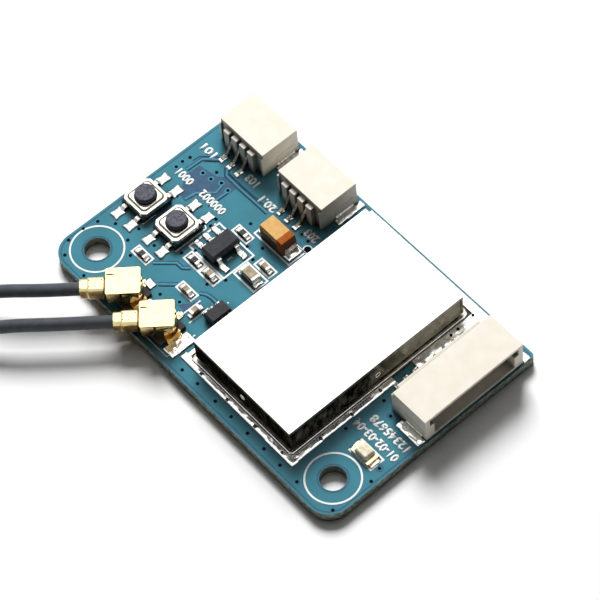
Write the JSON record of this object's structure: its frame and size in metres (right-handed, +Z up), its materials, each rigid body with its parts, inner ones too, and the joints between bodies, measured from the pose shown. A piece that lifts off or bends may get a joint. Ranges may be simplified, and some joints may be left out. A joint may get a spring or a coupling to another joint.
{
  "type": "rc receiver",
  "caption": "Bare-board radio receiver with a shielded radio, side-entry connectors, push buttons and coax antenna leads laid in coils.",
  "frame": {"origin": "centre of the board's underside, which the board rests on", "axes": "+X along the board's long side towards the channel connector, +Y towards the output connectors, +Z up from the board"},
  "size_m": [0.0529, 0.0496, 0.0038],
  "materials": {
    "blue_board": "satin solder mask",
    "tinned_steel": "bright tin",
    "solder": "bright solder",
    "connector_cream": "moulded nylon",
    "tinned_metal": "tin plate",
    "button_black": "moulded",
    "chip_black": "moulded epoxy",
    "tantalum_orange": "moulded epoxy",
    "ceramic_tan": "fired ceramic",
    "resistor_black": "glazed",
    "white_plastic": "moulded",
    "led_lens": "clear resin",
    "gold_plate": "gold flash",
    "lead_jacket": "smooth extruded",
    "bare_tip": "smooth extruded"
  },
  "bodies": {
    "root": {"antenna_coil_1": "lead_jacket", "antenna_coil_2": "lead_jacket", "antenna_lead_1": "lead_jacket", "antenna_lead_2": "lead_jacket", "antenna_switch_chip": "chip_black", "antenna_tip_1": "bare_tip", "antenna_tip_2": "bare_tip", "button_1_base": "button_black", "button_1_cover": "tinned_steel", "button_1_dome": "tinned_steel", "button_1_terminals": "tinned_metal", "button_2_base": "button_black", "button_2_cover": "tinned_steel", "button_2_dome": "tinned_steel", "button_2_terminals": "tinned_metal", "ceramic_capacitor_bodies": "ceramic_tan", "ceramic_capacitor_terminals": "tinned_metal", "channel_connector_contacts": "tinned_metal", "channel_connector_housing": "connector_cream", "channel_connector_tabs": "tinned_metal", "circuit_board": "blue_board", "controller_chip": "chip_black", "led_lens": "led_lens", "led_substrate": "white_plastic", "led_terminals": "tinned_metal", "logic_chip_body": "chip_black", "logic_chip_leads": "tinned_metal", "output_connector_1_contacts": "tinned_metal", "output_connector_1_housing": "connector_cream", "output_connector_1_tabs": "tinned_metal", "output_connector_2_contacts": "tinned_metal", "output_connector_2_housing": "connector_cream", "output_connector_2_tabs": "tinned_metal", "plug_1_contact": "gold_plate", "plug_1_insulator": "white_plastic", "plug_1_shell": "gold_plate", "plug_2_contact": "gold_plate", "plug_2_insulator": "white_plastic", "plug_2_shell": "gold_plate", "receptacle_1_base": "white_plastic", "receptacle_1_pin": "gold_plate", "receptacle_1_shell": "gold_plate", "receptacle_2_base": "white_plastic", "receptacle_2_pin": "gold_plate", "receptacle_2_shell": "gold_plate", "regulator_body": "chip_black", "regulator_leads": "tinned_metal", "resistor_bodies": "resistor_black", "resistor_terminals": "tinned_metal", "rf_crystal": "tinned_steel", "shield_frame": "tinned_steel", "shield_lid": "tinned_steel", "shield_solder": "solder", "tantalum_capacitor_body": "tantalum_orange", "tantalum_capacitor_terminals": "tinned_metal", "transceiver_chip": "chip_black"},
    "button_1": {"button_1_plunger": "button_black"},
    "button_2": {"button_2_plunger": "button_black"}
  },
  "joints": [
    {"name": "button_1_press", "type": "slide", "parent": "root", "child": "button_1", "axis": [0, 0, -1], "range_m": [0, 0.00025], "stiffness_N_per_m": 6400, "deforming": ["button_1_dome"]},
    {"name": "button_2_press", "type": "slide", "parent": "root", "child": "button_2", "axis": [0, 0, -1], "range_m": [0, 0.00025], "stiffness_N_per_m": 6400, "deforming": ["button_2_dome"]}
  ]
}
